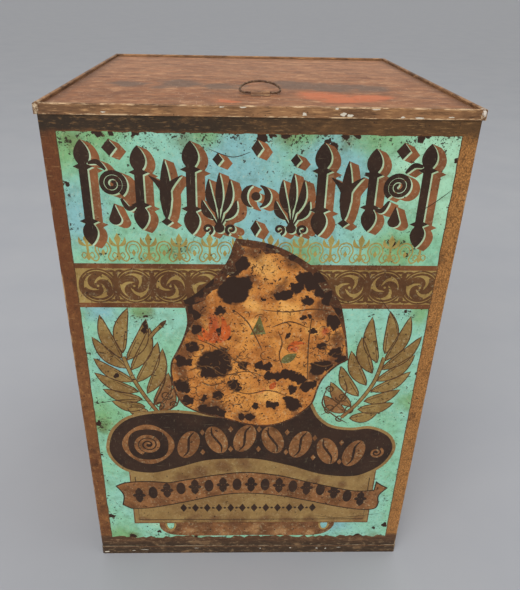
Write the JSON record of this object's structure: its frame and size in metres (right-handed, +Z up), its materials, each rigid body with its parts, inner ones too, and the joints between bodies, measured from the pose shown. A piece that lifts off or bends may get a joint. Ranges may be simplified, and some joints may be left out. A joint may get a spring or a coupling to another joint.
{
  "type": "hinged tinplate store bin",
  "caption": "Tall square tinplate coffee bin with a printed front, a recessed base, a rear-hinged lid with a raised rim and a small wire bail.",
  "frame": {"origin": "under the middle of the base, on the surface the bin stands on", "axes": "+Z up, -Y out of the printed front, +Y out of the hinged back, +X to the right as seen from the front"},
  "size_m": [0.3332, 0.3371, 0.4959],
  "materials": {
    "printed_front": "lithographed tinplate, worn, semi-gloss",
    "body_paint": "worn brown varnish over tinplate",
    "base_paint": "dark brown, scuffed",
    "lid_paint": "faded copper brown, worn",
    "rim_paint": "golden brown with bare edges",
    "solder": "dull solder",
    "wire": "darkened steel wire"
  },
  "bodies": {
    "tin": {"bottom_pan": "base_paint", "front_panel": "printed_front", "back_panel": "body_paint", "left_panel": "body_paint", "right_panel": "body_paint", "seam_solder": "solder", "base_solder": "solder", "mouth_wire": "wire", "body_hinge_leaf": "body_paint", "hinge_rivet_set": "wire", "hinge_pin": "wire"},
    "lid": {"lid_panel": "lid_paint", "lid_rim_front": "rim_paint", "lid_rim_back": "rim_paint", "lid_rim_left": "rim_paint", "lid_rim_right": "rim_paint", "lid_corner_solder": "solder", "lid_hinge_leaf": "rim_paint", "lid_hinge_solder": "solder", "bail_strap": "lid_paint", "strap_solder": "solder"},
    "bail": {"bail": "wire"}
  },
  "joints": [
    {"name": "lid_hinge", "type": "hinge", "parent": "tin", "child": "lid", "pos_m": [0, 0.16873, 0.482], "axis": [-1, 0, 0], "range_deg": [0, 210]},
    {"name": "bail_pivot", "type": "hinge", "parent": "lid", "child": "bail", "pos_m": [0.001, -0.1, 0.48895], "axis": [1, 0, 0], "range_deg": [-16, 164]}
  ]
}
